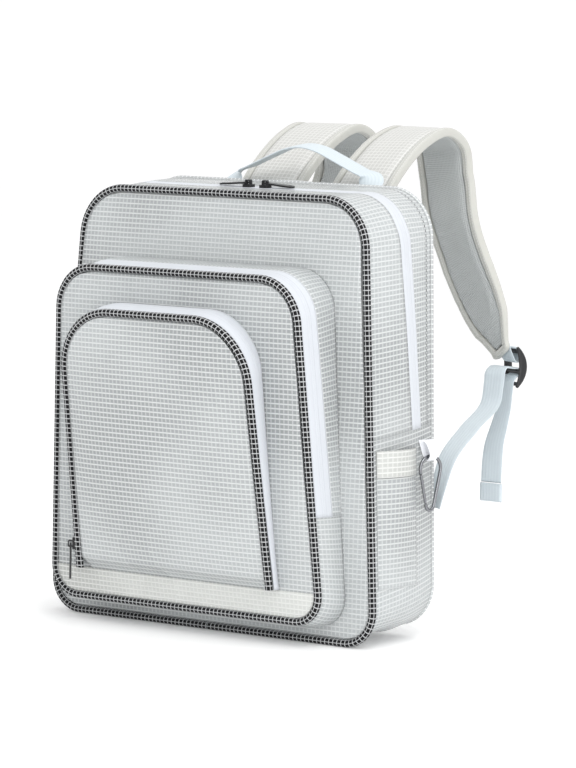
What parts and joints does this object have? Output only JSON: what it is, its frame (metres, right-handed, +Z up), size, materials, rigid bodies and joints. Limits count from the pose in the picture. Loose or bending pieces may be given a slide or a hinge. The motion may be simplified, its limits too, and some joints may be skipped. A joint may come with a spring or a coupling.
{
  "type": "backpack",
  "caption": "Clear mesh backpack with black piping, white zips, front and side pockets, padded shoulder straps, webbing handle and a snap hook.",
  "frame": {"origin": "middle of the base's flat patch, on the floor", "axes": "+Z up, the front towards -Y, the wearer's back and the straps towards +Y"},
  "size_m": [0.4192, 0.427, 0.4987],
  "materials": {
    "clear_mesh": "clear vinyl sheet with a white woven grid inside",
    "black_cord": "black cord under clear vinyl",
    "white_tape": "white zip tape",
    "cream_mesh": "folded mesh vinyl",
    "pale_webbing": "pale woven webbing",
    "strap_pad": "white mesh above, grey mesh below",
    "cream_binding": "cream binding tape",
    "black_metal": "black enamel",
    "black_plastic": "moulded",
    "chrome": "polished"
  },
  "bodies": {
    "bag": {"main_front_panel": "clear_mesh", "main_piping": "black_cord", "back_seam": "clear_mesh", "main_gusset_front": "clear_mesh", "main_zip_tape": "white_tape", "main_gusset_rear": "clear_mesh", "main_gusset_lower": "clear_mesh", "back_panel": "clear_mesh", "side_pocket_right": "clear_mesh", "side_pocket_left": "clear_mesh", "side_hem_right": "cream_mesh", "side_hem_left": "cream_mesh", "middle_piping": "black_cord", "middle_lower_band": "cream_mesh", "middle_front_panel": "clear_mesh", "middle_zip_tape": "white_tape", "middle_gusset_rear": "clear_mesh", "middle_gusset_lower": "clear_mesh", "small_piping": "black_cord", "small_zip_tape": "white_tape", "small_front_panel": "clear_mesh", "haul_handle": "pale_webbing", "shoulder_pad_right": "strap_pad", "shoulder_pad_left": "strap_pad", "shoulder_binding_right": "cream_binding", "shoulder_binding_left": "cream_binding", "ladder_lock_right": "black_plastic", "ladder_lock_left": "black_plastic", "lock_loop_right": "pale_webbing", "lock_loop_left": "pale_webbing", "lower_webbing_right": "pale_webbing", "lower_webbing_left": "pale_webbing", "strap_tail_right": "pale_webbing", "strap_tail_left": "pale_webbing", "tail_fold_right": "pale_webbing", "tail_fold_left": "pale_webbing", "main_left_slider": "black_metal", "main_right_slider": "black_metal", "middle_slider": "black_metal", "small_slider": "black_metal", "zip_tab": "white_tape"},
    "main_left_pull": {"main_left_pull": "black_metal"},
    "main_right_pull": {"main_right_pull": "black_metal"},
    "middle_pull": {"middle_pull": "black_metal"},
    "small_pull": {"small_pull": "black_metal"},
    "hook": {"carabiner_hook": "chrome"},
    "gate": {"carabiner_gate": "chrome"}
  },
  "joints": [
    {"name": "main_left_pull_swing", "type": "hinge", "parent": "bag", "child": "main_left_pull", "pos_m": [-0.0075, 0.01059, 0.44298], "axis": [0, 0.9969, 0.0782], "range_deg": [0, 95]},
    {"name": "main_right_pull_swing", "type": "hinge", "parent": "bag", "child": "main_right_pull", "pos_m": [0.0135, 0.01059, 0.44298], "axis": [0, -0.9969, -0.0782], "range_deg": [0, 95]},
    {"name": "middle_pull_swing", "type": "hinge", "parent": "bag", "child": "middle_pull", "pos_m": [-0.16772, -0.08457, 0.15], "axis": [-0.0364, 0.9993, 0], "range_deg": [0, 100]},
    {"name": "small_pull_swing", "type": "hinge", "parent": "bag", "child": "small_pull", "pos_m": [-0.13084, -0.11143, 0.08], "axis": [-0.6031, 0.7976, 0], "range_deg": [0, 100]},
    {"name": "hook_swing", "type": "hinge", "parent": "bag", "child": "hook", "pos_m": [0.2056, 0.03298, 0.18361], "axis": [-0.2588, -0.9659, 0], "range_deg": [0, 80]},
    {"name": "gate_opening", "type": "hinge", "parent": "hook", "child": "gate", "pos_m": [0.20422, 0.02781, 0.13666], "axis": [-0.9659, 0.2588, 0], "range_deg": [0, 22], "stiffness_Nm_per_rad": 0.01}
  ]
}
